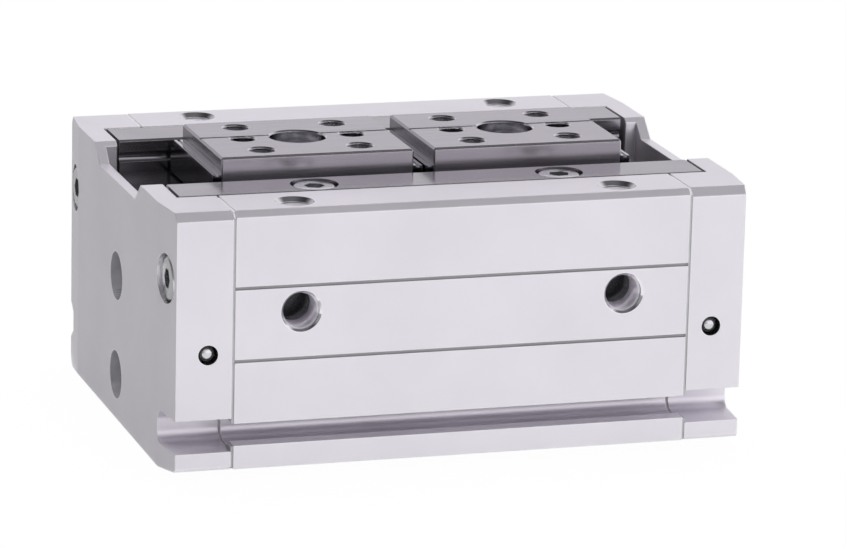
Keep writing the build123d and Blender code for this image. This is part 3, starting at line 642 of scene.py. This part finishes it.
def thread_liner(radius, depth, pitch, mouth):
    """Model the ridges of a tapped hole in millimetres, from the mouth down to the depth."""
    clearance = 0.004
    nothing_selected()
    bpy.ops.mesh.primitive_circle_add(vertices=56, radius=(radius - clearance) * MM,
                                      location=(0.0, 0.0, -mouth * MM))
    liner = bpy.context.object
    bpy.ops.object.transform_apply(location=True)
    turns = int((depth - mouth) / pitch)
    pick(liner, "EDGE", lambda start, end: True)
    bpy.ops.mesh.extrude_region_move(
        TRANSFORM_OT_translate={"value": (0.0, 0.0, -turns * pitch * MM)})
    tip = (radius - 0.5 * pitch) / radius
    for scale in (tip, 1 / tip) * turns:
        bpy.ops.mesh.extrude_region_move(
            TRANSFORM_OT_translate={"value": (0.0, 0.0, pitch / 2 * MM)})
        bpy.ops.transform.resize(value=(scale, scale, 1.0), center_override=(0.0, 0.0, 0.0))
    outward(liner)
    smooth(liner, 50)
    return liner


def standing(x, y, z):
    """Place of a piece whose axis stays upright, in millimetres."""
    return Matrix.Translation((x * MM, y * MM, z * MM))


def facing(x, y, z, axis, degrees):
    """Place of a piece turned about one axis, in millimetres."""
    return Matrix.Translation((x * MM, y * MM, z * MM)) @ Matrix.Rotation(
        math.radians(degrees), 4, axis)


class GRIPPER_OT_screws(bpy.types.Operator):
    """Model the knurled socket screws of caps and rail and the low screws in the fingers"""
    bl_idname = "gripper.screws"
    bl_label = "Socket screws"

    def execute(self, context):
        bright = screw_steel()
        low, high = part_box("cap_screws")
        surface_x = high[0] / MM - HEAD_HEIGHT
        surface_y = high[1] / MM - HEAD_RADIUS
        upper_z = high[2] / MM - HEAD_RADIUS
        sunk_z = low[2] / MM + HEAD_RADIUS
        places = []
        for side, turn in ((-1, -90.0), (1, 90.0)):
            for y in (-surface_y, surface_y):
                places.append(facing(side * surface_x, y, upper_z, "Y", turn))
            for z in (sunk_z, sunk_z + SUNK_SPACING):
                places.append(facing(side * (surface_x - SUNK_BELOW), 0.0, z, "Y", turn))
        screw = socket_screw(HEAD_RADIUS, HEAD_HEIGHT, SHANK_RADIUS, length=12.0,
                             key=SOCKET_WIDTH, key_depth=SOCKET_DEPTH)
        caps = copies_at(screw, places, "cap_socket_screws")
        dress(caps, bright)
        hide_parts("cap_screws")
        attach(caps, "housing")

        low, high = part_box("rail_screws")
        x = high[0] / MM - HEAD_RADIUS
        y = high[1] / MM - HEAD_RADIUS
        seat = high[2] / MM - HEAD_HEIGHT
        places = [standing(a * x, b * y, seat) @ Matrix.Rotation(math.radians(turn), 4, "Z")
                  for a, b, turn in ((-1, -1, 12.0), (1, -1, 40.0), (-1, 1, 25.0), (1, 1, 3.0))]
        screw = socket_screw(HEAD_RADIUS, HEAD_HEIGHT, SHANK_RADIUS, length=9.0,
                             key=SOCKET_WIDTH, key_depth=SOCKET_DEPTH)
        rails = copies_at(screw, places, "rail_socket_screws")
        dress(rails, bright)
        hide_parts("rail_screws")
        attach(rails, "housing")

        low_head = 3.0
        for side in ("left", "right"):
            low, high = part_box(f"{side}_finger_screw")
            middle = (low[0] + high[0]) / 2 / MM
            place = [standing(middle, 0.0, high[2] / MM - low_head)]
            screw = socket_screw(4.2, low_head, 2.48, length=6.2, key=SOCKET_WIDTH,
                                 key_depth=1.6)
            screw = copies_at(screw, place, f"{side}_low_head_screw")
            dress(screw, bright)
            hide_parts(f"{side}_finger_screw")
            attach(screw, f"{side}_carriage")
        return {"FINISHED"}


class GRIPPER_OT_threads(bpy.types.Operator):
    """Model the thread ridges in the ports, the body's mounting holes and the fingers"""
    bl_idname = "gripper.threads"
    bl_label = "Threads"

    def execute(self, context):
        tones = context.scene.gripper_finishes
        cut = metal("cut aluminium thread", shaded(tones.housing, 1.1),
                    shaded(tones.housing, 0.85), metallic=0.45, rough=(0.1, 0.18),
                    streaks=(600.0, 600.0, 2000.0), streak_depth=0.15, relief=0.005)
        steel = metal("cut steel thread", shaded(tones.finger, 0.9), shaded(tones.finger, 0.7),
                      metallic=0.95, rough=(0.18, 0.3), streaks=(600.0, 600.0, 6000.0),
                      streak_depth=0.4, relief=0.05)
        low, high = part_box("body")
        front = low[1] / MM
        top = high[2] / MM
        places = [facing(side * PORT_X, front, PORT_Z, "X", 90.0) for side in (-1, 1)]
        ports = copies_at(thread_liner(PORT_RADIUS, depth=5.4, pitch=0.5, mouth=0.9), places,
                          "port_threads")
        dress(ports, cut)
        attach(ports, "housing")
        places = [standing(x, y, top) for x, y in four(MOUNT_X, MOUNT_Y)]
        mounts = copies_at(thread_liner(MOUNT_RADIUS, depth=9.5, pitch=1.0, mouth=0.9), places,
                           "mount_threads")
        dress(mounts, cut)
        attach(mounts, "housing")
        for side in ("left", "right"):
            low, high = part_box(f"{side}_finger")
            middle = (low[0] + high[0]) / 2 / MM
            places = [standing(x, y, high[2] / MM)
                      for x, y in four(FINGER_THREAD, FINGER_THREAD, middle)]
            ridges = copies_at(
                thread_liner(FINGER_THREAD_RADIUS, depth=7.5, pitch=0.8, mouth=0.5), places,
                f"{side}_finger_threads")
            dress(ridges, steel)
            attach(ridges, f"{side}_carriage")
        return {"FINISHED"}


class GRIPPER_OT_stage(bpy.types.Operator):
    """Set the pale floor, the soft studio lamps and the camera at the photograph's angle"""
    bl_idname = "gripper.stage"
    bl_label = "Stage"

    def execute(self, context):
        scene = context.scene
        choice = scene.gripper_stage
        nothing_selected()
        bpy.ops.mesh.primitive_plane_add(size=6.0, location=(0.0, 0.0, 0.0))
        floor = context.object
        floor.name = "studio_floor"
        dress(floor, self.paper())
        self.surroundings(scene, choice.ambient)
        self.lamp("key_lamp", (0.55, -0.85, 0.75), 0.8, choice.key_power)
        self.lamp("top_lamp", (0.0, 0.25, 1.1), 1.0, choice.fill_power)
        camera = bpy.data.cameras.new("photo_camera")
        camera.lens = choice.lens
        camera.sensor_width = 36.0
        camera.clip_start = 0.01
        holder = bpy.data.objects.new("photo_camera", camera)
        scene.collection.objects.link(holder)
        turn = Matrix((CAMERA_RIGHT, -CAMERA_DOWN, -CAMERA_AHEAD)).transposed().to_4x4()
        holder.matrix_world = Matrix.Translation(CAMERA_PLACE) @ turn
        scene.camera = holder
        scene.view_settings.view_transform = "Standard"
        return {"FINISHED"}

    def paper(self):
        """White paper with a faint shadow, which the metals see darker at the back left."""
        made = bpy.data.materials.new("studio paper")
        made.use_nodes = True
        tree = made.node_tree
        tree.nodes.clear()
        ray = tree.nodes.new("ShaderNodeLightPath").outputs
        place = along(tree, tree.nodes.new("ShaderNodeTexCoord").outputs["Object"])
        right = ramp(tree, place["X"], (-0.0495, -0.047), (0.5, 0.94))
        front = ramp(tree, place["Y"], (-0.03, -0.06), (0.0, 0.94))
        level = maths(tree, "MAXIMUM", maths(tree, "MAXIMUM", right, front),
                      ray["Is Camera Ray"])
        seen = maths(tree, "MAXIMUM", ray["Is Camera Ray"], ray["Is Glossy Ray"])
        sheet = tree.nodes.new("ShaderNodeBsdfDiffuse")
        sheet.inputs["Color"].default_value = (0.86, 0.86, 0.87, 1.0)
        glow = tree.nodes.new("ShaderNodeEmission")
        tree.links.new(level, glow.inputs["Strength"])
        shown(tree, maths(tree, "MULTIPLY", seen, 0.975), sheet.outputs["BSDF"],
              glow.outputs["Emission"], "ShaderNodeOutputMaterial")
        return made

    def surroundings(self, scene, strength):
        """White for the camera; for the metals a bright horizon, dimmer above and at left."""
        world = scene.world or bpy.data.worlds.new("studio")
        scene.world = world
        world.use_nodes = True
        tree = world.node_tree
        tree.nodes.clear()
        ray = tree.nodes.new("ShaderNodeLightPath").outputs
        heading = along(tree, tree.nodes.new("ShaderNodeTexCoord").outputs["Generated"])
        ceiling = ramp(tree, heading["Z"], (0.45, 0.8), (1.0, 0.14))
        left = ramp(tree, heading["X"], (-0.75, 0.1), (0.28, 1.0))
        front = ramp(tree, heading["Y"], (-0.75, 0.3), (1.25, 0.8))
        tone = maths(tree, "MULTIPLY", maths(tree, "MULTIPLY", ceiling, left), front)
        share = ramp(tree, ray["Is Glossy Ray"], (0.0, 1.0), (strength, 1.0))
        room = tree.nodes.new("ShaderNodeBackground")
        room.inputs["Color"].default_value = (0.985, 0.965, 1.0, 1.0)
        tree.links.new(maths(tree, "MULTIPLY", tone, share), room.inputs["Strength"])
        white = tree.nodes.new("ShaderNodeBackground")
        shown(tree, ray["Is Camera Ray"], room.outputs["Background"],
              white.outputs["Background"], "ShaderNodeOutputWorld")

    def lamp(self, name, place, size, power):
        """A square area lamp that looks at the gripper and isn't mirrored in it."""
        data = bpy.data.lights.new(name, "AREA")
        data.size = size
        data.energy = power
        holder = bpy.data.objects.new(name, data)
        bpy.context.scene.collection.objects.link(holder)
        aim = Vector((0.0, 0.0, 0.02)) - Vector(place)
        turn = aim.to_track_quat("-Z", "Y").to_matrix().to_4x4()
        holder.matrix_world = Matrix.Translation(place) @ turn
        holder.visible_glossy = False


class GRIPPER_PT_panel(bpy.types.Panel):
    """Lists the gripper's finishes, stage and operators"""
    bl_label = "Air gripper"
    bl_idname = "GRIPPER_PT_panel"
    bl_space_type = "VIEW_3D"
    bl_region_type = "UI"
    bl_category = "Gripper"

    def draw(self, context):
        layout = self.layout
        for group in (context.scene.gripper_finishes, context.scene.gripper_stage):
            for name in group.__annotations__:
                layout.prop(group, name)
        for operator in OPERATORS:
            layout.operator(operator.bl_idname)


GROUPS = (GripperFinishes, GripperStage)
OPERATORS = (GRIPPER_OT_housing, GRIPPER_OT_guide, GRIPPER_OT_drive, GRIPPER_OT_screws,
             GRIPPER_OT_threads, GRIPPER_OT_stage)


def register():
    """Register the property groups, operators and panel."""
    for item in (*GROUPS, *OPERATORS, GRIPPER_PT_panel):
        bpy.utils.register_class(item)
    bpy.types.Scene.gripper_finishes = bpy.props.PointerProperty(type=GripperFinishes)
    bpy.types.Scene.gripper_stage = bpy.props.PointerProperty(type=GripperStage)


def unregister():
    """Remove what register added."""
    del bpy.types.Scene.gripper_stage
    del bpy.types.Scene.gripper_finishes
    for item in reversed((*GROUPS, *OPERATORS, GRIPPER_PT_panel)):
        bpy.utils.unregister_class(item)


def main():
    """Register the add-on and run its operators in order."""
    register()
    bpy.ops.gripper.housing()
    bpy.ops.gripper.guide()
    bpy.ops.gripper.drive()
    bpy.ops.gripper.screws()
    bpy.ops.gripper.threads()
    bpy.ops.gripper.stage()


if __name__ == "__main__":
    main()
